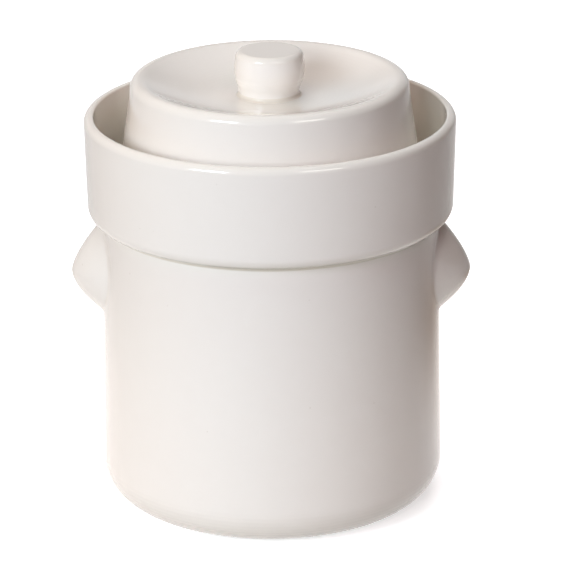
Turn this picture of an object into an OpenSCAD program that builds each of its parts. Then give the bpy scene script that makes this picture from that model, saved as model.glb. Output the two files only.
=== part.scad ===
// Water seal pickle jar in glazed stoneware, with its lid and a pair of half-moon weights.
// Frame: millimetres, +Z up, origin in the middle of the foot, lugs on the X axis.

/* [Overall] */
// Outside diameter at the trough's rim, the widest part of the jar but for its lugs
rim_d = 206; // [190:1:222]

/* [Trough] */
// Height of the collar, from the shoulder to the rim
trough_h = 58.2; // [48:0.2:66]
// How much the collar draws in from its rim to its lower edge, on the radius
trough_taper = 1.3; // [0:0.1:3]
// Thickness of the trough's floor
trough_floor_t = 8.2; // [6:0.2:11]
// Thickness of the collar's wall at the rim
rim_t = 5.4; // [4:0.2:7]
// Thickness of the collar's wall low down
trough_low_t = 7; // [5:0.2:9]
// Radius of the inside corner at the trough's floor
trough_corner_r = 5; // [2:0.5:7]

/* [Pot] */
// Height of the shoulder, where the trough is seated
shoulder_z = 164.2; // [130:0.2:220]
// How far the trough stands out over the pot's wall, rounded off below
overhang = 8.5; // [5:0.1:12]
// How much wider the pot is at its foot than at its shoulder, on the radius
pot_flare = 2.3; // [0:0.1:4]
// Thickness of the pot's wall
pot_wall = 7; // [5:0.5:10]
// Thickness of the floor
floor_t = 9; // [7:0.5:14]
// Thickness of the shoulder
shoulder_t = 8; // [6:0.5:12]
// Radius of the rounded bottom edge
bottom_edge_r = 21; // [12:1:26]
// Radius of the inside corner at the floor
floor_corner_r = 14; // [6:1:18]
// Radius of the inside corner under the shoulder
shoulder_corner_r = 10; // [4:1:12]

/* [Foot] */
// Width of the foot ring that the jar stands on
foot_ring_w = 9; // [5:0.5:14]
// Depth of the hollow inside the foot ring
foot_hollow = 2.5; // [1:0.5:4]

/* [Neck] */
// Thickness of the neck's wall
neck_wall = 6; // [4:0.5:8]
// Height of the neck's lip over the trough's rim, so that water spills outwards first
neck_over_rim = 1; // [0:0.5:2]
// Radius of the turn from the shoulder's underside up into the neck
throat_r = 4; // [2:0.5:5]

/* [Lid] */
// Water gap between the lid's foot and the inside of the collar
seal_gap_out = 7.9; // [6:0.1:10]
// Clearance between the inside of the lid and the neck's lip
seal_gap_in = 4; // [3:0.1:6]
// How much wider the lid is at its foot than at its top edge, on the radius
lid_flare = 9.5; // [4:0.1:12]
// Height of the ridge round the lid's top over the trough's rim
lid_over_rim = 20.3; // [18:0.1:30]
// Thickness of the lid's wall
lid_wall = 6; // [4:0.5:7]
// Radius of the lid's outer top edge
lid_edge_r = 5.2; // [3:0.2:8]
// Radius of the lid's inner top edge
lid_inner_r = 4; // [2:0.5:6]
// Radius of the rounding at the lid's foot
lid_foot_r = 1.8; // [0.8:0.2:1.8]
// Depth of the dished top below the ridge
dish_depth = 10; // [6:0.5:11]
// How far the flat of the dish reaches past the knob's foot, on the radius
dish_flat_past_knob = 5.3; // [3:0.1:12]
// Radius over the inner side of the ridge
ridge_r = 9; // [8:0.5:14]

/* [Knob] */
// Largest diameter of the knob
knob_d = 39.2; // [32:0.2:48]
// How much the waist is drawn in from the largest diameter, on the radius
knob_waist_in = 2.8; // [1.5:0.1:4]
// How much the knob draws in towards its top, on the radius
knob_top_in = 0.7; // [0:0.1:3]
// Height of the knob
knob_h = 25.3; // [20:0.1:32]
// Radius of the cove between the waist and the dish
knob_root_r = 2; // [1.5:0.1:4]
// Radius of the rounding under the head
knob_under_r = 5.5; // [4:0.1:7]
// Radius of the rounding at the knob's top edge
knob_top_r = 2.6; // [1:0.1:4]

/* [Lugs] */
// Distance of the lug's tip below the shoulder
lug_drop = 32.7; // [26:0.1:44]
// How far the lug stands out from the wall
lug_out = 17.8; // [10:0.2:24]
// Clearance between the lug's upper end and the trough
lug_under_gap = 1.5; // [0.5:0.1:4]
// Height of the lug below its tip
lug_down = 25; // [16:0.5:40]
// Half width of the lug at its root
lug_half_w = 28; // [18:0.5:34]
// Softness of the crest, as a share of the half width
lug_crest = 0.2; // [0.1:0.02:0.5]

/* [Weights] */
// Clearance between the weights and the rounded inside corner of the floor
weight_clear = 1.5; // [0.5:0.5:10]
// Thickness of a weight
weight_t = 20; // [14:1:28]
// Gap between the two weights
weight_gap = 5; // [2:0.5:10]
// Diameter of the finger hole
finger_d = 26; // [20:1:30]
// Distance of the finger hole's middle from the straight side
finger_in = 30; // [20:1:36]
// Rounding of the edges
weight_edge_r = 3; // [1:0.5:5]

/* [Hidden] */
$fn = 96;

glaze = [0.93, 0.92, 0.89];
bare_clay = [0.82, 0.78, 0.71];

// Steps along each rounded corner of an outline, and along a small one
corner_steps = 8;
small_steps = 4;
// Small step that carries a cutting body past the face it cuts
past = 1;

rim_z = shoulder_z + trough_h;
rim_r = rim_d / 2;
trough_floor_z = shoulder_z + trough_floor_t;
trough_low_r = rim_r - trough_taper;
trough_in_r = trough_low_r - trough_low_t;
rim_lip_r = rim_t / 2;

top_r = trough_low_r - overhang;
foot_r = top_r + pot_flare;
top_in_r = top_r - pot_wall;
foot_in_r = foot_r - pot_wall;
ring_out_r = foot_r - bottom_edge_r;
ring_in_r = ring_out_r - foot_ring_w;

lid_z = rim_z + lid_over_rim;
lid_foot_out_r = trough_in_r - seal_gap_out;
lid_top_r = lid_foot_out_r - lid_flare;
// How much the lid's side draws in for each millimetre that it rises
lid_lean = lid_flare / (lid_z - lid_edge_r - trough_floor_z - lid_foot_r);
crest_r = lid_top_r - lid_edge_r;
dish_z = lid_z - dish_depth;
knob_foot_r = knob_d / 2 - knob_waist_in + knob_root_r;
dish_flat_r = knob_foot_r + dish_flat_past_knob;

neck_z = rim_z + neck_over_rim;
neck_r = lid_foot_out_r - lid_lean * (neck_z - trough_floor_z) - lid_wall - seal_gap_in;
mouth_r = neck_r - neck_wall;
neck_lip_r = neck_wall / 2;

weight_r = foot_in_r - floor_corner_r - weight_clear;

lug_tip_z = shoulder_z - lug_drop;
lug_up = lug_drop - lug_under_gap;
lug_low_z = lug_tip_z - lug_down;
lug_high_z = lug_tip_z + lug_up;
// Columns across a lug, and rows above and below its tip
lug_columns = 18;
lug_rows_up = 11;
lug_rows_down = 10;
// How far the lug's blank goes under the wall's surface before it is cut to the wall
lug_dip = 0.5;
// How far inside the wall the lug's blank is closed off
lug_back_in = 20;
lug_back_r = top_r - lug_back_in;
// Height at which the lug's root is widest, as a share of the lug's height
lug_wide_share = 0.52;
// Powers that round the crest's outline above and below the tip
lug_power_up = 1.45;
lug_power_down = 1.75;
// Powers that round the root's outline above and below its widest place
lug_oval_up = 0.6;
lug_oval_down = 0.6;

// Points of an arc round [cx, cz] from angle a0 to angle a1
function arc(cx, cz, r, a0, a1, n = corner_steps) =
    [for (i = [0:n]) let (a = a0 + (a1 - a0) * i / n) [cx + r * cos(a), cz + r * sin(a)]];

// Outside radius of the pot's wall at height z
function wall_r(z) = foot_r + (top_r - foot_r) * (z - bottom_edge_r) / (shoulder_z - bottom_edge_r);

// Floor, wall, shoulder and neck, thrown in one
module crock_pot() {
    color(glaze)
    rotate_extrude()
    polygon(concat(
        [[0, foot_hollow], [ring_in_r - foot_hollow, foot_hollow], [ring_in_r, 0]],
        arc(ring_out_r, bottom_edge_r, bottom_edge_r, -90, 0),
        [[top_r, shoulder_z], [neck_r, shoulder_z]],
        arc(mouth_r + neck_lip_r, neck_z - neck_lip_r, neck_lip_r, 0, 180),
        arc(mouth_r + throat_r, shoulder_z - shoulder_t + throat_r, throat_r, 180, 270),
        arc(top_in_r - shoulder_corner_r, shoulder_z - shoulder_t - shoulder_corner_r,
            shoulder_corner_r, 90, 0),
        arc(foot_in_r - floor_corner_r, floor_t + floor_corner_r, floor_corner_r, 0, -90),
        [[0, floor_t]]));
}

// The collar that holds the sealing water, seated on the shoulder round the neck
module water_trough() {
    color(glaze)
    rotate_extrude()
    polygon(concat(
        [[neck_r, shoulder_z]],
        arc(top_r, shoulder_z + overhang, overhang, -90, 0),
        arc(rim_r - rim_lip_r, rim_z - rim_lip_r, rim_lip_r, 0, 180),
        arc(trough_in_r - trough_corner_r, trough_floor_z + trough_corner_r, trough_corner_r, 0, -90),
        [[neck_r, trough_floor_z]]));
}

// Height of the lug's surface over the wall on its crest, s from -1 at the lower end to 1 at the top
function lug_crest_out(s) =
    (lug_out + lug_dip) * (1 - pow(abs(s), s > 0 ? lug_power_up : lug_power_down)) - lug_dip;

// Share of the crest's height that is left at t half widths from the crest
function lug_slope(t) =
    1 - (sqrt(t * t + lug_crest * lug_crest) - lug_crest) / (sqrt(1 + lug_crest * lug_crest) - lug_crest);

// Half width of the root at height z
function lug_root_w(z) =
    let (wide = lug_low_z + lug_wide_share * (lug_high_z - lug_low_z))
    z > wide
        ? lug_half_w * pow(1 - pow((z - wide) / (lug_high_z - wide), 2), lug_oval_up)
        : lug_half_w * pow(1 - pow((wide - z) / (wide - lug_low_z), 2), lug_oval_down);

// Point of the lug's surface in row s at t half widths from the crest, on the +X side
function lug_point(s, t) =
    let (z = lug_tip_z + s * (s > 0 ? lug_up : lug_down))
    let (out = (lug_crest_out(s) + lug_dip) * lug_slope(t) - lug_dip)
    let (turn = t * lug_root_w(z) / wall_r(z) * 180 / PI)
    [(wall_r(z) + out) * cos(turn), (wall_r(z) + out) * sin(turn), z];

// Blank of a lug on the +X side, closed off behind the wall's surface
module lug_blank() {
    rows = concat(
        [for (i = [lug_rows_down - 1:-1:1]) -i / lug_rows_down],
        [for (i = [0:lug_rows_up - 1]) i / lug_rows_up]);
    n = lug_columns + 1;
    last = len(rows) - 1;
    points = concat(
        [for (s = rows) for (j = [0:lug_columns]) lug_point(s, 2 * j / lug_columns - 1)],
        [[wall_r(lug_low_z) - lug_dip, 0, lug_low_z],
            [wall_r(lug_high_z) - lug_dip, 0, lug_high_z],
            [lug_back_r, 0, lug_tip_z]]);
    low_tip = len(points) - 3;
    high_tip = len(points) - 2;
    back = len(points) - 1;
    faces = concat(
        [for (i = [0:last - 1]) for (j = [0:lug_columns - 1]) each [
            [i * n + j, i * n + n + j + 1, i * n + j + 1],
            [i * n + j, i * n + n + j, i * n + n + j + 1]]],
        [for (j = [0:lug_columns - 1]) [low_tip, j, j + 1]],
        [for (j = [0:lug_columns - 1]) [high_tip, last * n + j + 1, last * n + j]],
        [for (i = [0:last - 1]) each [
            [back, i * n + n, i * n],
            [back, i * n + lug_columns, i * n + n + lug_columns]]],
        [[back, 0, low_tip], [back, low_tip, lug_columns]],
        [[back, last * n + lug_columns, high_tip], [back, high_tip, last * n]]);
    polyhedron(points = points, faces = faces, convexity = 4);
}

// A lug whose back follows the pot's wall exactly
module lug() {
    color(glaze)
    difference() {
        lug_blank();
        translate([0, 0, bottom_edge_r])
            cylinder(h = shoulder_z - bottom_edge_r, r1 = foot_r, r2 = top_r);
    }
}

module right_lug() { lug(); }

module left_lug() { mirror([1, 0, 0]) lug(); }

// Outline of the lid's top from the ridge's crest in to the flat of the dish, kept t inside the skin
function dish_line(t) =
    let (run = crest_r - dish_flat_r)
    let (steep = 2 * atan(dish_depth / run))
    let (cove_r = run / sin(steep) - ridge_r)
    concat(
        arc(crest_r, lid_z - ridge_r, ridge_r - t, 90, 90 + steep),
        arc(dish_flat_r, dish_z + cove_r, cove_r + t, steep - 90, -90));

// The lid's bowl: flared skirt, rounded ridge and dished top
module lid() {
    skirt_in_r = lid_foot_out_r - lid_wall;
    inner_r = lid_top_r - lid_wall - lid_inner_r;
    ceiling = [for (p = dish_line(lid_wall)) if (p[0] < inner_r) p];
    color(glaze)
    rotate_extrude()
    polygon(concat(
        [[0, dish_z - lid_wall]],
        [for (i = [len(ceiling) - 1:-1:0]) ceiling[i]],
        arc(inner_r, lid_z - lid_wall - lid_inner_r, lid_inner_r, 90, 0),
        arc(skirt_in_r + lid_foot_r, trough_floor_z + lid_foot_r, lid_foot_r, 180, 270, small_steps),
        arc(lid_foot_out_r - lid_foot_r, trough_floor_z + lid_foot_r, lid_foot_r, -90, 0, small_steps),
        arc(crest_r, lid_z - lid_edge_r, lid_edge_r, 0, 90),
        dish_line(0),
        [[0, dish_z]]));
}

// The round knob luted to the middle of the dish
module lid_knob() {
    r = knob_d / 2;
    waist_r = r - knob_waist_in;
    // Angle at which the rounding under the head meets the waist
    under = acos(1 - knob_waist_in / knob_under_r);
    head_z = knob_root_r + knob_under_r * sin(under);
    color(glaze)
    translate([0, 0, dish_z])
    rotate_extrude()
    polygon(concat(
        [[0, 0]],
        arc(waist_r + knob_root_r, knob_root_r, knob_root_r, 270, 180),
        arc(r - knob_under_r, head_z, knob_under_r, -under, 0),
        [[r, (head_z + knob_h) / 2]],
        arc(r - knob_top_in - knob_top_r, knob_h - knob_top_r, knob_top_r, 0, 90),
        [[0, knob_h]]));
}

// Half-moon weight on the +X side, lying on the pot's floor
module half_moon() {
    r = weight_r;
    e = weight_edge_r;
    color(bare_clay)
    difference() {
        translate([0, 0, floor_t])
            rotate_extrude()
            polygon(concat(
                [[0, 0]],
                arc(r - e, e, e, -90, 0, small_steps),
                arc(r - e, weight_t - e, e, 0, 90, small_steps),
                [[0, weight_t]]));
        translate([-r - past, -r - past, floor_t - past])
            cube([r + past + weight_gap / 2, 2 * (r + past), weight_t + 2 * past]);
        translate([weight_gap / 2 + finger_in, 0, floor_t - past])
            cylinder(h = weight_t + 2 * past, d = finger_d);
    }
}

module weight_right() { half_moon(); }

module weight_left() { mirror([1, 0, 0]) half_moon(); }

crock_pot();
water_trough();
left_lug();
right_lug();
lid();
lid_knob();
weight_left();
weight_right();
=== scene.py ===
import math

import bmesh
import bpy
import numpy as np
from bpy.props import FloatProperty, FloatVectorProperty, IntProperty, PointerProperty
from mathutils import Matrix, Vector


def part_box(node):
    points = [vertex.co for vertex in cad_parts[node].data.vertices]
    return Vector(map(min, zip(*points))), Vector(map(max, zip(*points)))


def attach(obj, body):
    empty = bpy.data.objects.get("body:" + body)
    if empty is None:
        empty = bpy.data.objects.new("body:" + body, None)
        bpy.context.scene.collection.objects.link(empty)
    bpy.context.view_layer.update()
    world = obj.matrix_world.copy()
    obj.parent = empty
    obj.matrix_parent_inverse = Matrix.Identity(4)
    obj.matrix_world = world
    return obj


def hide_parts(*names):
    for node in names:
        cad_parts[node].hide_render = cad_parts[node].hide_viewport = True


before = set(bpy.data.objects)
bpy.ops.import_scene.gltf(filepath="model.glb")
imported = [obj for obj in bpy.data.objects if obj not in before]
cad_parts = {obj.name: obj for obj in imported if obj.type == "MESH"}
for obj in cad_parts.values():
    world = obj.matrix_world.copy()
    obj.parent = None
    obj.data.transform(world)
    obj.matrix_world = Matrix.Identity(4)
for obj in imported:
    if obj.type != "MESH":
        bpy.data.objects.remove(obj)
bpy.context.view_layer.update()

bl_info = {
    "name": "Water Seal Pickle Jar",
    "version": (1, 0, 0),
    "blender": (4, 5, 0),
    "location": "3D View > Sidebar > Pickle Jar",
    "description": "A glazed stoneware pickle jar with water trough, lugs, knobbed lid and weights",
    "category": "Add Mesh",
}

MM = 0.001

# Boxes of the jar's solids at rest, which the default sizes come from
_, POT_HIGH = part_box("crock_pot")
TROUGH_LOW, TROUGH_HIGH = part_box("water_trough")
LID_LOW, LID_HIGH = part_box("lid")
KNOB_LOW, KNOB_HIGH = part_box("lid_knob")
LUG_LOW, LUG_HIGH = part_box("right_lug")
WEIGHT_LOW, WEIGHT_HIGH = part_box("weight_right")


def length(name, description, default, lowest=0.0):
    """A length in metres for a property group."""
    return FloatProperty(
        name=name, description=description, default=default, min=lowest,
        precision=5, unit="LENGTH", subtype="DISTANCE")


def share(name, description, default, highest=1.0):
    """A plain number from 0 up for a property group."""
    return FloatProperty(name=name, description=description, default=default, min=0.0, max=highest)


def colour(name, description, default):
    """A linear colour for a property group."""
    return FloatVectorProperty(
        name=name, description=description, default=default,
        size=3, min=0.0, max=1.0, subtype="COLOR")


class PICKLEJAR_PG_pot(bpy.types.PropertyGroup):
    """Sizes of the pot: floor, wall, shoulder and neck."""

    steps: IntProperty(
        name="Turning Steps", description="Facets round everything that is turned",
        default=192, min=24)
    foot_r: length("Foot Radius", "Outside radius just above the rounded bottom edge", POT_HIGH.x)
    shoulder_r: length("Shoulder Radius", "Outside radius under the trough", POT_HIGH.x - 2.3 * MM)
    shoulder_z: length("Shoulder Height", "Height of the shoulder's top", TROUGH_LOW.z)
    neck_z: length("Neck Height", "Height of the neck's lip", POT_HIGH.z)
    neck_r: length("Neck Radius", "Outside radius of the neck", 69.15 * MM)
    neck_wall: length("Neck Wall", "Thickness of the neck", 6 * MM)
    wall: length("Wall", "Thickness of the pot's wall", 7 * MM)
    floor: length("Floor", "Height of the floor's upper side", WEIGHT_LOW.z)
    shoulder: length("Shoulder", "Thickness of the shoulder", 8 * MM)
    bottom_edge: length("Bottom Edge", "Radius of the rounded bottom edge", 21 * MM)
    floor_corner: length("Floor Corner", "Radius of the inside corner at the floor", 14 * MM)
    shoulder_corner: length(
        "Shoulder Corner", "Radius of the inside corner under the shoulder", 10 * MM)
    throat: length("Throat", "Radius of the turn up into the neck", 4 * MM)
    foot_ring: length("Foot Ring", "Width of the unglazed ring that the jar stands on", 9 * MM)
    foot_hollow: length("Foot Hollow", "Depth of the hollow inside the foot ring", 2.5 * MM)
    foot_edge: length("Foot Ring Edge", "Rounding of the foot ring's inner edge", 0.9 * MM)


class PICKLEJAR_PG_trough(bpy.types.PropertyGroup):
    """Sizes of the collar that holds the sealing water."""

    rim_r: length("Rim Radius", "Outside radius at the rim", TROUGH_HIGH.x)
    rim_z: length("Rim Height", "Height of the rim", TROUGH_HIGH.z)
    taper: length("Taper", "How much the collar draws in towards its lower edge", 1.3 * MM)
    rim: length("Rim Width", "Thickness of the rim", 5.4 * MM)
    low_wall: length("Low Wall", "Thickness of the collar low down", 7 * MM)
    floor: length("Floor", "Thickness of the trough's floor", 8.2 * MM)
    lip: length("Lip", "Radius of the lip's outer edge", 4 * MM)
    under_edge: length("Under Edge", "Radius of the rounded lower edge", 8.5 * MM)
    corner: length("Corner", "Radius of the inside corner at the trough's floor", 5 * MM)
    seam: length("Seam", "Radius of the glaze that fills the crease under the collar", 2.8 * MM)
    neck_seam: length(
        "Neck Seam", "Radius of the turn from the trough's floor up the neck", 2.5 * MM)
    # Painted shade on the trough's inside, as a share of the pooled-glaze colour.
    gathered: share("Gathered Glaze", "How much glaze has gathered on the trough's inside", 0.65)


class PICKLEJAR_PG_lugs(bpy.types.PropertyGroup):
    """Sizes of the two lifting lugs."""

    low_z: length("Lower End", "Height of a lug's lower end", LUG_LOW.z)
    high_z: length("Upper End", "Height of a lug's upper end", LUG_HIGH.z)
    tip_z: length("Tip Height", "Height where a lug stands out furthest", 131.5 * MM)
    tip_r: length("Tip Reach", "Distance of the tip from the jar's axis", LUG_HIGH.x)
    half_w: length("Half Width", "Half the width of a lug at its root", 28 * MM)
    crest: share("Crest", "Softness of the crest, as a share of the half width", 0.3)
    widest: share(
        "Widest Place", "Height at which the root is widest, as a share of the lug's height", 0.52)
    round_up: share("Round Above", "Power that rounds the crest above the tip", 1.45, 4.0)
    round_down: share("Round Below", "Power that rounds the crest below the tip", 1.75, 4.0)
    oval: share("Oval", "Power that rounds the root's outline", 0.6, 2.0)
    root: length("Root", "Softness of the join between lug and wall", 1.1 * MM)


class PICKLEJAR_PG_lid(bpy.types.PropertyGroup):
    """Sizes of the lid's flared bowl."""

    foot_r: length("Foot Radius", "Outside radius at the lid's foot", LID_HIGH.x)
    foot_z: length("Foot Height", "Height of the lid's foot", LID_LOW.z)
    top_z: length("Top Height", "Height of the ridge round the top", LID_HIGH.z)
    dish_z: length("Dish Height", "Height of the dish at its middle", KNOB_LOW.z)
    lean: share("Lean", "How much the side draws in for each metre that it rises", 0.15)
    wall: length("Wall", "Thickness of the lid", 6 * MM)
    edge: length("Top Edge", "Radius of the outer top edge", 5.2 * MM)
    ridge: length("Ridge", "Radius over the inner side of the ridge", 9 * MM)
    slope: length(
        "Slope Width", "Width of the slope from the ridge down to the flat of the dish", 48 * MM)
    inner: length("Inner Edge", "Radius of the inside corner under the ridge", 4 * MM)
    foot_edge: length("Foot Edge", "Rounding of the lid's foot", 1.8 * MM)


class PICKLEJAR_PG_knob(bpy.types.PropertyGroup):
    """Sizes of the thrown knob."""

    r: length("Radius", "Largest radius", KNOB_HIGH.x)
    waist: length("Waist", "How much the waist is drawn in from the largest radius", 2.8 * MM)
    top_in: length("Top Draw", "How much the knob draws in towards its top", 0.7 * MM)
    root: length("Root", "Radius of the cove at the dish", 2 * MM)
    top: length("Top Edge", "Radius of the top edge", 3.6 * MM)
    crook: length("Crook", "How far the waist sits off the knob's middle", 0.4 * MM)


class PICKLEJAR_PG_weights(bpy.types.PropertyGroup):
    """Sizes of the two half-moon weights."""

    r: length("Radius", "Outside radius", WEIGHT_HIGH.x)
    straight_x: length(
        "Straight Side", "Distance of the straight side from the middle", WEIGHT_LOW.x)
    low_z: length("Lower Side", "Height of the lower side", WEIGHT_LOW.z)
    high_z: length("Upper Side", "Height of the upper side", WEIGHT_HIGH.z)
    hole_x: length(
        "Hole Place", "Distance of the finger hole's middle from the jar's axis", 32.5 * MM)
    hole_r: length("Hole Radius", "Radius of the finger hole", 13 * MM)
    edge: length("Edge", "Rounding of the edges", 3 * MM)
    hole_edge: length("Hole Edge", "Rounding of the finger hole's edges", 1.2 * MM)
    corner: length("Corner", "Rounding of the two corners", 4.5 * MM)


class PICKLEJAR_PG_finish(bpy.types.PropertyGroup):
    """Colours and surface of the glaze and of the bare clay."""

    glaze: colour("Glaze", "Colour of the glaze", (0.832, 0.796, 0.742))
    glaze_thin: colour(
        "Thin Glaze", "Colour where the glaze runs thin over an edge", (0.822, 0.779, 0.712))
    # Colour of glaze pooled in creases, which also paints shade there and on the trough's inside.
    glaze_pool: colour(
        "Pooled Glaze", "Colour where the glaze gathers in a crease", (0.71, 0.655, 0.555))
    glaze_tint: colour(
        "Glaze Tint", "Colour that the glaze drifts to in wide soft patches", (0.827, 0.786, 0.733))
    speck: colour("Speck", "Colour of the small specks of iron in the glaze", (0.42, 0.34, 0.25))
    clay: colour("Clay", "Colour of the bare clay", (0.62, 0.56, 0.47))
    clay_dark: colour("Dark Clay", "Colour of the coarser grains in the clay", (0.40, 0.33, 0.25))
    gloss: share("Glaze Roughness", "Roughness of the glaze's surface", 0.09)
    wave: length("Glaze Waves", "Height of the slow waves in the glaze", 0.05 * MM)
    peel: length("Glaze Dimples", "Height of the fine dimples in the glaze", 0.0012 * MM)


class PICKLEJAR_PG_stage(bpy.types.PropertyGroup):
    """Camera, lamps and floor."""

    distance: length(
        "Camera Distance", "Distance of the camera from the jar's middle", 2185.85 * MM)
    middle_z: length("Middle Height", "Height of the jar's middle", 115 * MM)
    elevation: FloatProperty(
        name="Elevation", description="Angle of the camera above the horizon",
        default=math.radians(19.8909), unit="ROTATION", subtype="ANGLE")
    roll: FloatProperty(
        name="Roll", description="Turn of the camera about its own line of sight",
        default=math.radians(-0.3686), unit="ROTATION", subtype="ANGLE")
    aim: FloatVectorProperty(
        name="Aim", description="Point that the camera looks at",
        default=(0.0094, 0.0013, 0.1185), size=3, precision=4, unit="LENGTH", subtype="TRANSLATION")
    lens: FloatProperty(
        name="Lens", description="Focal length in millimetres", default=243.3, min=1.0)
    floor: colour("Floor", "Colour of the floor", (0.86, 0.86, 0.86))
    floor_glow: share(
        "Floor Glow", "Light added to the floor as the camera and mirrors see it", 0.6)
    dim_floor: colour(
        "Dim Floor", "Tint of the floor's glow behind the jar's right, as the glaze mirrors it",
        (0.2, 0.12, 0.05))
    bounce: colour(
        "Bounce", "Colour of the light that the floor throws back on the jar", (0.63, 0.60, 0.56))
    walls: colour(
        "Walls", "Colour of the room's walls, as the glaze mirrors them", (0.60, 0.60, 0.60))
    ceiling: colour(
        "Ceiling", "Colour of the room over the walls, as the glaze mirrors it", (0.20, 0.20, 0.20))
    dim_side: colour(
        "Dim Side", "Colour of the room on the jar's right, as the glaze mirrors it",
        (0.30, 0.27, 0.24))
    lamps: share("Lamp Level", "Level of all the lamps together", 1.0, 4.0)


GROUPS = {
    "picklejar_pot": PICKLEJAR_PG_pot,
    "picklejar_trough": PICKLEJAR_PG_trough,
    "picklejar_lugs": PICKLEJAR_PG_lugs,
    "picklejar_lid": PICKLEJAR_PG_lid,
    "picklejar_knob": PICKLEJAR_PG_knob,
    "picklejar_weights": PICKLEJAR_PG_weights,
    "picklejar_finish": PICKLEJAR_PG_finish,
    "picklejar_stage": PICKLEJAR_PG_stage,
}


# Outlines: lists of (radius, height) in metres

def arc(cx, cz, r, start, end, step=7.5):
    """Points of an arc round (cx, cz), with both ends, angles in degrees."""
    n = max(2, math.ceil(abs(end - start) / step))
    angles = [math.radians(start + (end - start) * i / n) for i in range(n + 1)]
    return [(cx + r * math.cos(a), cz + r * math.sin(a)) for a in angles]


def rounded(corners):
    """Open outline through corners (x, z, radius), each rounded off tangent to its two sides."""
    points = []
    for i, (x, z, r) in enumerate(corners):
        if r == 0 or i in (0, len(corners) - 1):
            points.append((x, z))
            continue
        here = Vector((x, z))
        back = (Vector(corners[i - 1][:2]) - here).normalized()
        on = (Vector(corners[i + 1][:2]) - here).normalized()
        half = back.angle(on) / 2
        middle = here + (back + on).normalized() * (r / math.sin(half))
        first, last = (here + way * (r / math.tan(half)) - middle for way in (back, on))
        start = math.degrees(math.atan2(first.y, first.x))
        sweep = math.degrees(math.atan2(last.y, last.x)) - start
        points += arc(middle.x, middle.y, r, start, start + (sweep + 180) % 360 - 180)
    return points


def smooth_run(points, parts=5):
    """A soft curve through the points."""
    ends = [points[0], *points, points[-1]]
    run = [points[0]]
    for a, b, c, d in zip(ends, ends[1:], ends[2:], ends[3:]):
        for i in range(1, parts + 1):
            t = i / parts
            run.append(tuple(
                0.5 * (2 * q + (r - p) * t
                       + (2 * p - 5 * q + 4 * r - w) * t ** 2
                       + (3 * q - p - 3 * r + w) * t ** 3)
                for p, q, r, w in zip(a, b, c, d)))
    return run


def supported(outline, near=0.3 * MM, longest=6 * MM):
    """The outline with points added near the ends of its long runs, so that they shade flat."""
    points = [outline[0]]
    for a, b in zip(outline, outline[1:]):
        a, b = Vector(a), Vector(b)
        run = (b - a).length
        if run < 1e-7:
            continue
        if run > 4 * near:
            n = max(1, math.ceil((run - 2 * near) / longest))
            inner = [near + (run - 2 * near) * i / n for i in range(n + 1)]
            points += [tuple(a.lerp(b, t / run)) for t in inner]
        points.append(tuple(b))
    return points


# Meshes

def make_object(name, vertices, faces, sharp=40):
    """A smooth-shaded mesh object with its normals outwards and its sharp edges marked."""
    mesh = bpy.data.meshes.new(name)
    mesh.from_pydata([tuple(v) for v in vertices], [], faces)
    mesh.validate()
    work = bmesh.new()
    work.from_mesh(mesh)
    bmesh.ops.recalc_face_normals(work, faces=work.faces)
    work.to_mesh(mesh)
    work.free()
    mesh.shade_smooth()
    mesh.set_sharp_from_angle(angle=math.radians(sharp))
    mesh.update()
    obj = bpy.data.objects.new(name, mesh)
    bpy.context.scene.collection.objects.link(obj)
    return obj


def turned(outline, steps, closed=False):
    """Vertices and faces of an outline turned round Z. A closed one joins its end to its start."""
    rows, vertices = [], []
    for r, z in outline:
        if r < 1e-7:
            rows.append([len(vertices)])
            vertices.append((0.0, 0.0, z))
            continue
        rows.append(list(range(len(vertices), len(vertices) + steps)))
        for k in range(steps):
            angle = 2 * math.pi * k / steps
            vertices.append((r * math.cos(angle), r * math.sin(angle), z))
    return vertices, bands(rows + rows[:1] if closed else rows, steps)


def bands(rows, steps):
    """Faces between each row of vertices and the next. A row may be a single point."""
    faces = []
    for low, high in zip(rows, rows[1:]):
        for k in range(steps):
            n = (k + 1) % steps
            quad = [low[k % len(low)], low[n % len(low)], high[n % len(high)], high[k % len(high)]]
            face = list(dict.fromkeys(quad))
            if len(face) > 2:
                faces.append(face)
    return faces


def mark_glaze(
        obj, thin_from=0.06, thin_to=0.34, pool_from=0.05, pool_to=0.4, spread=2, spread_area=2.0):
    """Stores where the glaze runs thin over edges and where it pools with painted shade, from the
    mesh's curvature: the normal's turn in radians for each millimetre, averaged spread times over
    the neighbours."""
    mesh = obj.data
    count = len(mesh.vertices)
    co = np.empty(count * 3)
    mesh.vertices.foreach_get("co", co)
    co = co.reshape(-1, 3) * 1000  # millimetres
    normal = np.empty(count * 3)
    mesh.vertices.foreach_get("normal", normal)
    normal = normal.reshape(-1, 3)
    edges = np.empty(len(mesh.edges) * 2, dtype=np.int64)
    mesh.edges.foreach_get("vertices", edges)
    a, b = edges.reshape(-1, 2).T
    along = co[b] - co[a]
    reach = np.maximum((along ** 2).sum(axis=1), 1e-9)
    bend = ((normal[b] - normal[a]) * along).sum(axis=1) / reach
    degree = np.bincount(a, minlength=count) + np.bincount(b, minlength=count)
    curve = (np.bincount(a, bend, count) + np.bincount(b, bend, count)) / np.maximum(degree, 1) * 2
    near = np.exp(-reach / spread_area)
    for _ in range(spread):
        weight = np.bincount(a, near, count) + np.bincount(b, near, count)
        total = np.bincount(a, near * curve[b], count) + np.bincount(b, near * curve[a], count)
        curve = (curve + total) / (1 + weight)
    store(mesh, "thin", soft_step(curve, thin_from, thin_to))
    store(mesh, "pool", soft_step(-curve, pool_from, pool_to))


def soft_step(values, low, high):
    """0 up to low, 1 from high on, and a soft step from one to the other."""
    t = np.clip((values - low) / (high - low), 0, 1)
    return t * t * (3 - 2 * t)


def store(mesh, name, values):
    """One number for each vertex, for the materials to read."""
    layer = mesh.attributes.get(name) or mesh.attributes.new(name, "FLOAT", "POINT")
    layer.data.foreach_set("value", np.asarray(values, dtype=np.float32))


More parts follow.
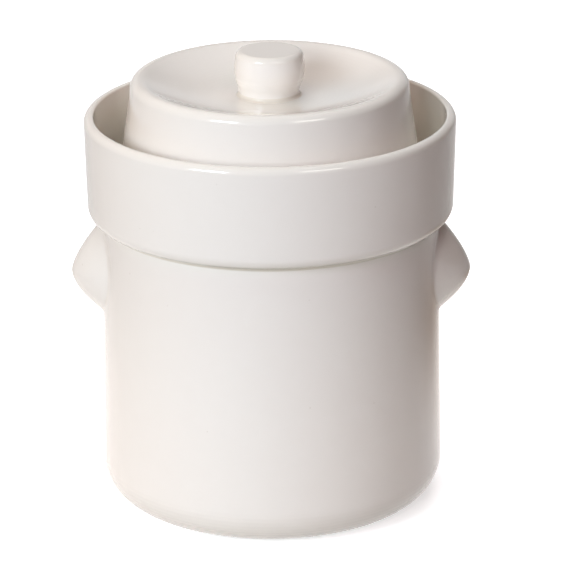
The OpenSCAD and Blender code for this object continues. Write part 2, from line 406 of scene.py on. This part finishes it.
def gather_glaze(obj, depth):
    """Stores more painted shade into the pooled-glaze mask, from 0 to 1, where the depth at a
    vertex's place asks for it.
    """
    for vertex, pool in zip(obj.data.vertices, obj.data.attributes["pool"].data):
        pool.value = max(pool.value, depth(vertex.co))


def mark_bare(obj, is_bare):
    """Stores which vertices are left without glaze."""
    store(obj.data, "bare", [1.0 if is_bare(v.co) else 0.0 for v in obj.data.vertices])


# Materials

class Wire:
    """An output socket that takes part in sums on values."""

    def __init__(self, sheet, socket):
        self.sheet, self.socket = sheet, socket

    def sum(self, operation, *values):
        return self.sheet.add("ShaderNodeMath", {"operation": operation}, dict(enumerate(values)))

    def __add__(self, other):
        return self.sum("ADD", self, other)

    def __sub__(self, other):
        return self.sum("SUBTRACT", self, other)

    def __mul__(self, other):
        return self.sum("MULTIPLY", self, other)

    def __rsub__(self, other):
        return self.sum("SUBTRACT", other, self)

    __radd__ = __add__

    def other(self, name):
        """Another output of the same node."""
        return Wire(self.sheet, self.sheet.find(self.socket.node.outputs, name))

    def between(self, low, high):
        """0 up to low, 1 from high on, and a soft step from one to the other."""
        return self.sheet.add(
            "ShaderNodeMapRange", {"interpolation_type": "SMOOTHSTEP"},
            {"Value": self, "From Min": low, "From Max": high})


class Sheet:
    """The node tree of one material or world."""

    def __init__(self, tree):
        self.tree = tree
        tree.nodes.clear()

    def add(self, kind, settings=None, sockets=None, output=0):
        """A node of that type: its settings come first, then its sockets are filled or linked."""
        node = self.tree.nodes.new(kind)
        for name, value in (settings or {}).items():
            setattr(node, name, value)
        for name, value in (sockets or {}).items():
            socket = self.find(node.inputs, name)
            if isinstance(value, Wire):
                self.tree.links.new(value.socket, socket)
            elif socket.type == "RGBA" and len(value) == 3:
                socket.default_value = (*value, 1.0)
            else:
                socket.default_value = value
        return Wire(self, self.find(node.outputs, output)) if len(node.outputs) else None

    @staticmethod
    def find(sockets, name):
        """A socket by its place, name or identifier."""
        if isinstance(name, int):
            return sockets[name]
        for socket in sockets:
            if socket.identifier == name:
                return socket
        return sockets[name]

    def mix(self, amount, first, second):
        """The first colour where amount is 0 and the second where it is 1."""
        return self.add(
            "ShaderNodeMix", {"data_type": "RGBA"},
            {"Factor_Float": amount, "A_Color": first, "B_Color": second}, "Result_Color")

    def noise(self, size, detail=2.0, rough=0.5, shift=(0.0, 0.0, 0.0)):
        """Soft noise from 0 to 1 whose lumps are about that many metres across."""
        place = self.add("ShaderNodeTexCoord", output="Object")
        if any(shift):
            place = self.add("ShaderNodeVectorMath", {"operation": "ADD"}, {0: place, 1: shift})
        return self.add(
            "ShaderNodeTexNoise", None,
            {"Vector": place, "Scale": 1 / size, "Detail": detail, "Roughness": rough})

    def mask(self, name):
        """A number stored on the mesh."""
        return self.add("ShaderNodeAttribute", {"attribute_name": name}, output="Fac")

    def bump(self, height):
        """A normal from a height in millimetres."""
        return self.add("ShaderNodeBump", None, {"Height": height, "Strength": 1.0, "Distance": MM})


def new_material(name):
    """The material of that name with its node sheet emptied, so that new colours take effect."""
    material = bpy.data.materials.get(name) or bpy.data.materials.new(name)
    material.use_nodes = True
    return material, Sheet(material.node_tree)


def glaze_material():
    """Glossy warm white glaze, thin on edges, pooled with painted shade in creases and on the
    trough's inside, and left off the foot.
    """
    look = bpy.context.scene.picklejar_finish
    material, sheet = new_material("warm_white_glaze")
    thin, pool, bare = sheet.mask("thin"), sheet.mask("pool"), sheet.mask("bare")

    patches = sheet.noise(70 * MM, 2.0).between(0.38, 0.66)
    mottle = sheet.noise(9 * MM, 3.0, 0.6, (0.3, 0.1, 0.2))
    speck_place = sheet.add(
        "ShaderNodeTexVoronoi", {"feature": "F1"},
        {"Vector": sheet.add("ShaderNodeTexCoord", output="Object"), "Scale": 1 / (7 * MM)})
    chance = sheet.add("ShaderNodeSeparateColor", None, {0: speck_place.other("Color")})
    specks = (1 - speck_place.between(0.045, 0.085)) * chance.between(0.90, 0.94)
    pits = (1 - speck_place.between(0.03, 0.075)) * (1 - chance.between(0.05, 0.07))

    tinted = sheet.mix(patches * 0.55, look.glaze, look.glaze_tint)
    mottled = sheet.mix(mottle * 0.10, tinted, look.glaze_pool)
    worn = sheet.mix(thin * 0.75, mottled, look.glaze_thin)
    # Pooled glaze with painted shade in creases and on the trough's inside.
    pooled = sheet.mix(pool * 0.8, worn, look.glaze_pool)
    specked = sheet.mix(specks * 0.2, pooled, look.speck)

    grain = sheet.noise(1.4 * MM, 3.0, 0.7)
    clay = sheet.mix(grain.between(0.45, 0.75), look.clay, look.clay_dark)
    edge = (bare + (sheet.noise(3 * MM, 2.0) - 0.5) * 0.5).between(0.35, 0.65)
    colour_all = sheet.mix(edge, specked, clay)

    smooth = look.gloss + mottle * 0.05 + pool * 0.04
    roughness = smooth + edge * (0.75 - smooth)

    waves = sheet.noise(48 * MM, 1.0, 0.4, (0.7, 0.2, 0.5)) * (look.wave / MM)
    dimples = sheet.noise(2.6 * MM, 1.0) * (look.peel / MM)
    rough_clay = sheet.noise(0.9 * MM, 2.0, 0.7) * 0.05
    height = (waves + dimples - pits * 0.03) * (1 - edge) + rough_clay * edge

    surface = sheet.add("ShaderNodeBsdfPrincipled", None, {
        "Base Color": colour_all,
        "Roughness": roughness,
        "IOR": 1.5,
        "Specular IOR Level": 0.2,
        "Coat Weight": (1 - edge) * (1 - pool * 0.7) * 0.9,
        "Coat Roughness": 0.03,
        "Coat IOR": 1.5,
        "Normal": sheet.bump(height)})
    sheet.add("ShaderNodeOutputMaterial", None, {"Surface": surface})
    return material


def clay_material():
    """Matt unglazed clay with coarse grains and fine pits."""
    look = bpy.context.scene.picklejar_finish
    material, sheet = new_material("bare_clay")
    patches = sheet.noise(30 * MM, 3.0, 0.6)
    grain = sheet.noise(1.3 * MM, 3.0, 0.7)
    grit_place = sheet.add(
        "ShaderNodeTexVoronoi", {"feature": "F1"},
        {"Vector": sheet.add("ShaderNodeTexCoord", output="Object"), "Scale": 1 / (2.6 * MM)})
    grit = 1 - grit_place.between(0.10, 0.22)
    pale_clay = tuple(1.22 * c for c in look.clay)
    pale = sheet.mix(patches * 0.6, look.clay, pale_clay)
    grained = sheet.mix(grain.between(0.5, 0.8) * 0.35, pale, look.clay_dark)
    gritty = sheet.mix(grit * 0.45, grained, look.clay_dark)
    height = grain * 0.05 - grit * 0.04 + patches * 0.1
    surface = sheet.add("ShaderNodeBsdfPrincipled", None, {
        "Base Color": gritty,
        "Roughness": 0.78 + grain * 0.15,
        "Specular IOR Level": 0.3,
        "Normal": sheet.bump(height)})
    sheet.add("ShaderNodeOutputMaterial", None, {"Surface": surface})
    return material


def floor_material():
    """Plain pale floor that the camera and mirrors see as white and that keeps shadows."""
    stage = bpy.context.scene.picklejar_stage
    material, sheet = new_material("pale_floor")
    place = sheet.add("ShaderNodeTexCoord", output="Object")
    away = sheet.add("ShaderNodeVectorMath", {"operation": "LENGTH"}, {0: place}, "Value")

    looked_at = sheet.add("ShaderNodeLightPath", output="Is Camera Ray")
    far_bounce = tuple(0.25 * c for c in stage.bounce)
    thrown_back = sheet.mix(away.between(0.2, 0.55), stage.bounce, far_bounce)
    paint = sheet.mix(looked_at, thrown_back, stage.floor)
    diffuse = sheet.add("ShaderNodeBsdfDiffuse", None, {"Color": paint})

    mirrored = sheet.add("ShaderNodeLightPath", output="Is Glossy Ray")
    to_right = sheet.add("ShaderNodeSeparateXYZ", None, {0: place}, "X").between(0.08, 0.30)
    to_back = sheet.add("ShaderNodeSeparateXYZ", None, {0: place}, "Y").between(-0.05, 0.20)
    nearby = 1 - away.between(0.35, 0.55) * 0.7
    dim = to_right * to_back * nearby * mirrored
    glow_colour = sheet.mix(dim, (1.0, 1.0, 1.0), stage.dim_floor)
    glow = sheet.add("ShaderNodeEmission", None, {
        "Color": glow_colour, "Strength": seen_directly(sheet) * stage.floor_glow})
    surface = sheet.add("ShaderNodeAddShader", None, {0: diffuse, 1: glow})
    sheet.add("ShaderNodeOutputMaterial", None, {"Surface": surface})
    return material


def seen_directly(sheet):
    """1 for what the camera, a glossy surface or clear glass looks at."""
    rays = ("Is Camera Ray", "Is Glossy Ray", "Is Transmission Ray")
    camera, glossy, clear = (sheet.add("ShaderNodeLightPath", output=ray) for ray in rays)
    return camera + glossy + clear


# Pieces

def dress(obj, body, node, material):
    """The piece takes its material and slot, stands for its CAD node and moves with its body."""
    obj.data.materials.clear()
    obj.data.materials.append(material)
    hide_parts(node)
    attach(obj, body)


def wall_radius(pot, z):
    """Outside radius of the pot's wall at height z."""
    up = (z - pot.bottom_edge) / (pot.shoulder_z - pot.bottom_edge)
    return pot.foot_r + (pot.shoulder_r - pot.foot_r) * up


class PICKLEJAR_OT_pot(bpy.types.Operator):
    """Builds the pot: foot ring, floor, wall, shoulder and neck"""

    bl_idname = "picklejar.pot"
    bl_label = "Pot"

    def execute(self, context):
        pot = context.scene.picklejar_pot
        ring_in = pot.foot_r - pot.bottom_edge - pot.foot_ring
        neck_in = pot.neck_r - pot.neck_wall
        under_z = pot.shoulder_z - pot.shoulder
        lip = pot.neck_wall / 2 - 0.01 * MM  # leaves a hair of flat between the two roundings
        hollow_corner = 2 * MM
        outline = rounded([
            (0, pot.foot_hollow, 0),
            (ring_in - pot.foot_hollow, pot.foot_hollow, hollow_corner),
            (ring_in, 0, pot.foot_edge),
            (wall_radius(pot, 0), 0, pot.bottom_edge),
            (pot.shoulder_r, pot.shoulder_z, 0),
            (pot.neck_r, pot.shoulder_z, 0),
            (pot.neck_r, pot.neck_z, lip),
            (neck_in, pot.neck_z, lip),
            (neck_in, under_z, pot.throat),
            (pot.shoulder_r - pot.wall, under_z, pot.shoulder_corner),
            (wall_radius(pot, pot.floor) - pot.wall, pot.floor, pot.floor_corner),
            (0, pot.floor, 0)])
        obj = make_object("pot", *turned(supported(outline), pot.steps))
        mark_glaze(obj)
        bare_in, bare_out = ring_in - 1.5 * MM, pot.foot_r - pot.bottom_edge + 4 * MM
        bare_z = 0.6 * MM
        mark_bare(obj, lambda p: p.z < bare_z and bare_in < math.hypot(p.x, p.y) < bare_out)
        dress(obj, "crock", "crock_pot", glaze_material())
        return {"FINISHED"}


class PICKLEJAR_OT_trough(bpy.types.Operator):
    """Builds the collar that holds the sealing water, with the glaze in its seams"""

    bl_idname = "picklejar.trough"
    bl_label = "Water Trough"

    def execute(self, context):
        pot, trough = context.scene.picklejar_pot, context.scene.picklejar_trough
        sunk = 0.05 * MM
        overlap = 3 * MM
        floor_z = pot.shoulder_z + trough.floor
        rise = trough.rim_z - pot.shoulder_z
        low_r = trough.rim_r - trough.taper * rise / (rise - trough.under_edge)
        in_low_r = trough.rim_r - trough.taper - trough.low_wall
        seam_z = pot.shoulder_z - 2.4 * trough.seam
        neck_seam_z = floor_z + 1.6 * trough.neck_seam
        inner_lip = 0.96 * (trough.rim - trough.lip)
        outline = rounded([
            (pot.neck_r, pot.shoulder_z, 0),
            (pot.shoulder_r - overlap, pot.shoulder_z, 0),
            (wall_radius(pot, seam_z) - sunk, seam_z, 0),
            (pot.shoulder_r - sunk / 2, pot.shoulder_z, trough.seam),
            (low_r, pot.shoulder_z, trough.under_edge - trough.seam / 2),
            (trough.rim_r, trough.rim_z, trough.lip),
            (trough.rim_r - trough.rim, trough.rim_z, inner_lip),
            (in_low_r, floor_z, trough.corner),
            (pot.neck_r - sunk, floor_z, trough.neck_seam),
            (pot.neck_r - sunk, neck_seam_z, 0)])
        mesh = turned(supported(outline), pot.steps, closed=True)
        obj = make_object("water_trough_collar", *mesh)
        mark_glaze(obj)
        # Paints shade on the trough's inside, in the pooled-glaze colour.
        gather_glaze(obj, lambda place: gathered_inside(trough, place))
        dress(obj, "crock", "water_trough", glaze_material())
        return {"FINISHED"}


def gathered_inside(trough, place):
    """Painted shade at a place: none outside or on the lip, the trough's full share below it."""
    if math.hypot(place.x, place.y) > trough.rim_r - 0.75 * trough.rim:
        return 0.0
    below = (trough.rim_z - trough.lip - place.z) / trough.rim
    return trough.gathered * min(1.0, max(0.0, below))


class PICKLEJAR_OT_lugs(bpy.types.Operator):
    """Builds the two lifting lugs, pulled out of the wall and blended into it"""

    bl_idname = "picklejar.lugs"
    bl_label = "Lugs"

    def execute(self, context):
        for name, node, side in (("lug_right", "right_lug", 1), ("lug_left", "left_lug", -1)):
            obj = make_object(name, *lug_shape(context.scene, side))
            mark_glaze(obj)
            dress(obj, "crock", node, glaze_material())
        return {"FINISHED"}


def lug_root(lug, z):
    """Half width of a lug's root at height z."""
    wide = lug.low_z + lug.widest * (lug.high_z - lug.low_z)
    end = lug.high_z if z > wide else lug.low_z
    return lug.half_w * max(0.0, 1 - ((z - wide) / (end - wide)) ** 2) ** lug.oval


def lug_height(lug, out, across, z):
    """Height of a lug over the wall, at a distance across from its crest and at height z."""
    dip = 0.5 * MM
    above = z > lug.tip_z
    end = lug.high_z if above else lug.low_z
    s = abs((z - lug.tip_z) / (end - lug.tip_z))
    crest = (out + dip) * (1 - s ** (lug.round_up if above else lug.round_down))
    t = abs(across) / max(lug_root(lug, z), 1e-6)
    k = lug.crest
    slope = 1 - (math.hypot(t, k) - k) / (math.hypot(1, k) - k)
    return crest * slope - dip


def lug_reach(lug, middle_z, turn, longest=60 * MM, halvings=40):
    """Distance from the middle of a lug's root to the root's outline, in the direction turn."""
    low, high = 0.0, longest
    for _ in range(halvings):
        test = (low + high) / 2
        across, z = test * math.cos(turn), middle_z + test * math.sin(turn)
        inside = lug.low_z < z < lug.high_z and abs(across) < lug_root(lug, z)
        low, high = (test, high) if inside else (low, test)
    return low


def lug_shape(scene, side, spokes=120, rings=34):
    """Vertices and faces of one lug: rings from the middle of its root out over the root's outline
    to a skirt that dips into the wall, and rings back to the middle inside the wall."""
    pot, lug = scene.picklejar_pot, scene.picklejar_lugs
    out = lug.tip_r - wall_radius(pot, lug.tip_z)
    middle_z = lug.low_z + lug.widest * (lug.high_z - lug.low_z)
    turns = [2 * math.pi * k / spokes for k in range(spokes)]
    reach = [lug_reach(lug, middle_z, turn) for turn in turns]
    skirt = [1.0 + 0.03 * i for i in range(1, 9)]
    skirt_fall = 0.75
    sunk = 0.05 * MM
    back = 1.5 * MM
    vertices, rows = [], []

    def skin(k, way_out):
        """Height over the wall along a spoke, at that share of the way to the root's outline."""
        d = reach[k] * min(way_out, 1.0)
        h = lug_height(lug, out, d * math.cos(turns[k]), middle_z + d * math.sin(turns[k]))
        if way_out > 1:
            h -= (way_out - 1) * reach[k] * skirt_fall
        return -sunk if way_out == skirt[-1] else (h + math.hypot(h, lug.root)) / 2 - sunk

    def add_ring(way_out, height):
        """A ring at that share of the way out, or one point where that is 0."""
        count = spokes if way_out else 1
        rows.append(list(range(len(vertices), len(vertices) + count)))
        for k in range(count):
            d = reach[k] * way_out
            across, z = d * math.cos(turns[k]), middle_z + d * math.sin(turns[k])
            r = wall_radius(pot, z) + height(k, way_out)
            angle = across / wall_radius(pot, z)
            vertices.append((side * r * math.cos(angle), r * math.sin(angle), z))

    for way_out in [i / rings for i in range(rings + 1)] + skirt:
        add_ring(way_out, skin)
    for way_out in (skirt[-1] - 0.01, 0.8, 0.5, 0.25, 0.0):
        add_ring(way_out, lambda k, _: -back)
    return vertices, bands(rows, spokes)


class PICKLEJAR_OT_lid(bpy.types.Operator):
    """Builds the lid's flared bowl with its rounded ridge and dished top"""

    bl_idname = "picklejar.lid"
    bl_label = "Lid"

    def execute(self, context):
        lid = context.scene.picklejar_lid
        steps = context.scene.picklejar_pot.steps
        rise = lid.top_z - lid.foot_z
        side_r = lid.foot_r - lid.lean * rise
        inwards = (side_r - 20 * MM, lid.top_z, 0)
        skirt = rounded([
            (lid.foot_r - lid.wall / 2, lid.foot_z, 0),
            (lid.foot_r, lid.foot_z, lid.foot_edge),
            (side_r, lid.top_z, lid.edge),
            inwards])[:-1]
        crest_r = skirt[-1][0]
        top = skirt + dish_line(lid, crest_r, 0.0)[1:]
        inner_r = side_r - lid.wall
        under = [p for p in dish_line(lid, crest_r, lid.wall) if p[0] < inner_r - lid.inner]
        inside = rounded([
            (under[0][0], under[0][1], 0),
            (inner_r + lid.lean * lid.wall, lid.top_z - lid.wall, lid.inner),
            (lid.foot_r - lid.wall, lid.foot_z, lid.foot_edge),
            (lid.foot_r - lid.wall / 2, lid.foot_z, 0)])
        outline = top + [(0, lid.dish_z), (0, lid.dish_z - lid.wall)] + under[::-1] + inside[1:-1]
        obj = make_object("lid_bowl", *lid_mesh(outline, steps))
        mark_glaze(obj)
        bare_z = lid.foot_z + 0.5 * MM
        mark_bare(obj, lambda p: p.z < bare_z)
        dress(obj, "lid", "lid", glaze_material())
        return {"FINISHED"}


def dish_line(lid, crest_r, inset):
    """Outline of the lid's top, from the ridge in to the dish's flat, that far inside the skin."""
    depth = lid.top_z - lid.dish_z
    steep = 2 * math.degrees(math.atan(depth / lid.slope))
    cove = lid.slope / math.sin(math.radians(steep)) - lid.ridge
    flat_r = crest_r - lid.slope
    over = arc(crest_r, lid.top_z - lid.ridge, lid.ridge - inset, 90, 90 + steep, 3)
    down = arc(flat_r, lid.dish_z + cove, cove + inset, steep - 90, -90, 1.5)
    return over + down[1:]


def lid_mesh(outline, steps):
    """The lid's outline turned, with the two runs that meet the axis kept apart."""
    upper_end = next(i for i, p in enumerate(outline) if p[0] == 0)
    upper = supported(outline[:upper_end + 1])
    lower = supported(outline[upper_end + 1:])
    top_vertices, top_faces = turned(upper, steps)
    low_vertices, low_faces = turned(lower, steps)
    shift = len(top_vertices)
    faces = top_faces + [[i + shift for i in f] for f in low_faces]
    first = list(range(steps))
    last = list(range(shift + len(low_vertices) - steps, shift + len(low_vertices)))
    for k in range(steps):
        n = (k + 1) % steps
        faces.append([last[k], last[n], first[n], first[k]])
    return top_vertices + low_vertices, faces


# The knob's side as (distance, height over the dish) in millimetres. The distance is outwards from
# the waist at first, and inwards from the largest radius further up.
KNOB_WAIST_OUT = ((0.1, 3.0), (0.6, 5.0))
KNOB_BELLY_IN = (
    (1.3, 7.4), (0.95, 8.7), (0.62, 9.9), (0.46, 11.2), (0.14, 13.0), (0.0, 15.0), (0.25, 18.5))


class PICKLEJAR_OT_knob(bpy.types.Operator):
    """Builds the thrown knob, slightly crooked, with the ring that the fingers left"""

    bl_idname = "picklejar.knob"
    bl_label = "Knob"

    def execute(self, context):
        knob = context.scene.picklejar_knob
        lid = context.scene.picklejar_lid
        base, top = lid.dish_z, KNOB_HIGH.z
        waist_r = knob.r - knob.waist
        foot_r, foot_z = waist_r + knob.root, base + knob.root
        edge_r, edge_z = knob.r - knob.top_in, top - knob.top
        crown_r, crown_fall, edge_turn = 0.55 * knob.r, 0.02 * MM, 84
        overlap = 0.05 * MM
        sunk_z = base - 0.5 * MM
        outline = [(0, sunk_z), (foot_r, sunk_z)]
        outline += arc(foot_r, foot_z, knob.root + overlap, 270, 180)
        side = [(waist_r, foot_z)]
        side += [(waist_r + out * MM, base + up * MM) for out, up in KNOB_WAIST_OUT]
        side += [(knob.r - drawn_in * MM, base + up * MM) for drawn_in, up in KNOB_BELLY_IN]
        outline += smooth_run([*side, (edge_r, edge_z)])[1:]
        outline += arc(edge_r - knob.top, edge_z, knob.top, 0, edge_turn)[1:]
        outline += [(crown_r, top - crown_fall), (0, top)]
        obj = make_object("lid_knob_head", *turned(supported(outline), steps=128))
        crook_up, crook_spread = 0.12, 0.25
        for v in obj.data.vertices:
            up = (v.co.z - base) / (top - base)
            v.co.x -= knob.crook * math.exp(-((up - crook_up) / crook_spread) ** 2)
        mark_glaze(obj)
        dress(obj, "lid", "lid_knob", glaze_material())
        return {"FINISHED"}


class PICKLEJAR_OT_weights(bpy.types.Operator):
    """Builds the two half-moon weights with rounded edges and a finger hole"""

    bl_idname = "picklejar.weights"
    bl_label = "Weights"

    def execute(self, context):
        weight = context.scene.picklejar_weights
        for name, node, side in (
                ("half_moon_right", "weight_right", 1), ("half_moon_left", "weight_left", -1)):
            obj = make_object(name, *weight_shape(weight, side))
            dress(obj, node, node, clay_material())
        return {"FINISHED"}


def half_moon(weight, inset, z, steps=48):
    """Loop round a weight, that far inside its outline, at height z."""
    r, x0 = weight.r - inset, weight.straight_x + inset
    corner = max(weight.corner - inset, 0.5 * MM)
    corner_x = x0 + corner
    corner_y = math.sqrt((r - corner) ** 2 - corner_x ** 2)
    meet = math.degrees(math.atan2(corner_y, corner_x))
    loop = arc(corner_x, -corner_y, corner, -180, -meet, 15)
    sweep = [math.radians(meet * (i / steps - 1)) for i in range(1, 2 * steps)]
    loop += [(r * math.cos(a), r * math.sin(a)) for a in sweep]
    loop += arc(corner_x, corner_y, corner, meet, 180, 15)
    loop += [(x0, corner_y * (1 - 2 * i / steps)) for i in range(1, steps)]
    return [(x, y, z) for x, y in loop]


def edge_levels(edge, half, flat=0.4 * MM):
    """Steps (inset, height from the middle) up a side from flat to flat, over two rounded edges."""
    ramp = [math.radians(a) for a in range(0, 91, 10)]
    up = [(edge * (1 - math.cos(a)), half - edge + edge * math.sin(a)) for a in ramp]
    up.append((edge + flat, half))
    return [(inset, -h) for inset, h in up[::-1]] + [(0.0, 0.0)] + up


def weight_shape(weight, side, hole_steps=64):
    """Vertices and faces of one weight."""
    middle = (weight.low_z + weight.high_z) / 2
    half = (weight.high_z - weight.low_z) / 2
    outer = [half_moon(weight, inset, middle + h) for inset, h in edge_levels(weight.edge, half)]
    turns = [2 * math.pi * k / hole_steps for k in range(hole_steps)]
    inner = []
    for inset, h in edge_levels(weight.hole_edge, half):
        x, r, z = weight.hole_x, weight.hole_r + inset, middle + h
        inner.append([(x + r * math.cos(a), r * math.sin(a), z) for a in turns])
    vertices, faces = [], []

    def tube(loops):
        """Adds a tube through the loops, and gives its first and last row."""
        rows = []
        for loop in loops:
            rows.append(list(range(len(vertices), len(vertices) + len(loop))))
            vertices.extend((side * x, y, z) for x, y, z in loop)
        faces.extend(bands(rows, len(rows[0])))
        return rows[0], rows[-1]

    for around, hole in zip(tube(outer), tube([loop[::-1] for loop in inner])):
        faces.extend(flat_ring(vertices, around, hole))
    return vertices, faces


def flat_ring(vertices, around, hole):
    """Triangles between two loops in one plane, the second inside the first."""
    middle = np.mean([vertices[i][:2] for i in hole], axis=0)

    def bearing(i):
        x, y = vertices[i][0] - middle[0], vertices[i][1] - middle[1]
        return math.atan2(y, x) % (2 * math.pi)

    def next_bearing(row, i):
        return bearing(row[i + 1]) if i + 1 < len(row) else bearing(row[0]) + 2 * math.pi

    outer, inner = sorted(around, key=bearing), sorted(hole, key=bearing)
    faces, i, j = [], 0, 0
    while i < len(outer) or j < len(inner):
        here = outer[i % len(outer)], inner[j % len(inner)]
        outer_next = next_bearing(outer, i) <= next_bearing(inner, j)
        if j >= len(inner) or (i < len(outer) and outer_next):
            i += 1
            third = outer[i % len(outer)]
        else:
            j += 1
            third = inner[j % len(inner)]
        faces.append([here[0], third, here[1]])
    return faces


# Stage

def point_at(obj, target):
    """Turns a lamp or camera towards a point."""
    way = Vector(target) - obj.location
    obj.rotation_mode = "QUATERNION"
    obj.rotation_quaternion = way.to_track_quat("-Z", "Y")


def soft_lamp(name, bearing, elevation, distance, width, height, level,
              lights=True, mirrored=False):
    """A rectangular soft lamp. Bearing 0 is in front of the jar and 90 on its right.
    The level is the colour that it gives a white surface facing it. A lamp that isn't mirrored
    leaves no bright patch in the gloss, and one that doesn't light is only a patch there."""
    scene = bpy.context.scene
    stage = scene.picklejar_stage
    lamp = bpy.data.lights.get(name) or bpy.data.lights.new(name, "AREA")
    lamp.shape = "RECTANGLE"
    lamp.size, lamp.size_y = width, height
    strongest = max(level)
    lamp.color = tuple(v / strongest for v in level)
    lamp.energy = math.pi ** 2 * distance ** 2 * strongest * stage.lamps
    obj = bpy.data.objects.new(name, lamp)
    scene.collection.objects.link(obj)
    a, e = math.radians(bearing), math.radians(elevation)
    middle = Vector((0.0, 0.0, stage.middle_z))
    way = Vector((math.sin(a) * math.cos(e), -math.cos(a) * math.cos(e), math.sin(e)))
    obj.location = middle + way * distance
    point_at(obj, middle)
    obj.visible_camera = False
    obj.visible_diffuse = lights
    obj.visible_glossy = mirrored


def lay_floor(half=12.0):
    """The square of floor that the jar stands on."""
    corners = [(-half, -half, 0), (half, -half, 0), (half, half, 0), (-half, half, 0)]
    mesh = bpy.data.meshes.new("floor")
    mesh.from_pydata(corners, [], [(0, 1, 2, 3)])
    mesh.materials.append(floor_material())
    floor = bpy.data.objects.new("floor", mesh)
    bpy.context.scene.collection.objects.link(floor)


def light_room():
    """White behind the jar, and for the glaze a room with plain walls, a dim side and a ceiling."""
    scene = bpy.context.scene
    stage = scene.picklejar_stage
    world = bpy.data.worlds.get("studio") or bpy.data.worlds.new("studio")
    scene.world = world
    world.use_nodes = True
    sheet = Sheet(world.node_tree)
    way = sheet.add("ShaderNodeTexCoord", output="Generated")
    right = sheet.add("ShaderNodeSeparateXYZ", None, {0: way}, "X")
    height = sheet.add("ShaderNodeSeparateXYZ", None, {0: way}, "Z")
    walls = sheet.mix(right.between(0.35, 0.62), stage.walls, stage.dim_side)
    room = sheet.mix(height.between(0.16, 0.40), walls, stage.ceiling)
    looked_at = sheet.add("ShaderNodeLightPath", output="Is Camera Ray")
    backdrop = sheet.mix(looked_at, room, (1.0, 1.0, 1.0))
    seen = sheet.add("ShaderNodeBackground", None, {"Color": backdrop, "Strength": 1.0})
    faint = sheet.add("ShaderNodeBackground", None, {"Color": (1.0, 0.95, 0.88), "Strength": 0.02})
    surface = sheet.add("ShaderNodeMixShader", None, {0: seen_directly(sheet), 1: faint, 2: seen})
    sheet.add("ShaderNodeOutputWorld", None, {"Surface": surface})


def place_camera():
    """A long lens in front of the jar, looking down on its lid."""
    scene = bpy.context.scene
    stage = scene.picklejar_stage
    camera = bpy.data.cameras.new("camera")
    camera.sensor_width = 36.0
    camera.lens = stage.lens
    camera.clip_end = 60.0
    obj = bpy.data.objects.new("camera", camera)
    scene.collection.objects.link(obj)
    out = stage.distance * math.cos(stage.elevation)
    up = stage.distance * math.sin(stage.elevation)
    obj.location = Vector((0.0, -out, stage.middle_z + up))
    point_at(obj, stage.aim)
    turn = obj.rotation_quaternion.to_matrix() @ Matrix.Rotation(stage.roll, 3, "Z")
    obj.rotation_quaternion = turn.to_quaternion()
    scene.camera = obj


class PICKLEJAR_OT_stage(bpy.types.Operator):
    """Sets up the floor, the white surroundings, the soft lamps and the camera"""

    bl_idname = "picklejar.stage"
    bl_label = "Stage"

    def execute(self, context):
        lay_floor()
        light_room()
        soft_lamp("key", bearing=-38, elevation=27, distance=2.2, width=0.78, height=0.62,
                  level=(0.40, 0.455, 0.515), mirrored=True)
        soft_lamp("front_key", bearing=-17, elevation=18, distance=2.6, width=0.8, height=0.6,
                  level=(0.38, 0.405, 0.42))
        soft_lamp("front_fill", bearing=15, elevation=40, distance=3.0, width=2.0, height=1.4,
                  level=(0.08, 0.01, 0.02))
        soft_lamp("left_fill", bearing=-104, elevation=22, distance=2.4, width=1.6, height=1.6,
                  level=(0.20, 0.09, 0.02))
        soft_lamp("top_fill", bearing=0, elevation=85, distance=2.2, width=2.0, height=2.0,
                  level=(0.37, 0.405, 0.37))
        soft_lamp("back_fill", bearing=180, elevation=45, distance=2.6, width=2.0, height=1.4,
                  level=(0.50, 0.475, 0.52))
        soft_lamp("right_window", bearing=35, elevation=40, distance=2.2, width=0.9, height=0.5,
                  level=(0.18, 0.175, 0.16), lights=False, mirrored=True)
        place_camera()
        context.scene.view_settings.view_transform = "Standard"
        return {"FINISHED"}


OPERATORS = (
    PICKLEJAR_OT_pot,
    PICKLEJAR_OT_trough,
    PICKLEJAR_OT_lugs,
    PICKLEJAR_OT_lid,
    PICKLEJAR_OT_knob,
    PICKLEJAR_OT_weights,
    PICKLEJAR_OT_stage,
)


class PICKLEJAR_PT_sidebar(bpy.types.Panel):
    """Lists the jar's pieces and the stage"""

    bl_label = "Pickle Jar"
    bl_idname = "PICKLEJAR_PT_sidebar"
    bl_space_type = "VIEW_3D"
    bl_region_type = "UI"
    bl_category = "Pickle Jar"

    def draw(self, context):
        for operator in OPERATORS:
            self.layout.operator(operator.bl_idname)


CLASSES = (*GROUPS.values(), *OPERATORS, PICKLEJAR_PT_sidebar)


def register():
    """Adds the classes, and the groups of sizes and colours to every scene."""
    for cls in CLASSES:
        bpy.utils.register_class(cls)
    for name, group in GROUPS.items():
        setattr(bpy.types.Scene, name, PointerProperty(type=group))


def unregister():
    """Takes away what register added."""
    for name in GROUPS:
        delattr(bpy.types.Scene, name)
    for cls in reversed(CLASSES):
        bpy.utils.unregister_class(cls)


def main():
    """Builds the pieces and the stage."""
    register()
    bpy.ops.picklejar.pot()
    bpy.ops.picklejar.trough()
    bpy.ops.picklejar.lugs()
    bpy.ops.picklejar.lid()
    bpy.ops.picklejar.knob()
    bpy.ops.picklejar.weights()
    bpy.ops.picklejar.stage()


if __name__ == "__main__":
    main()
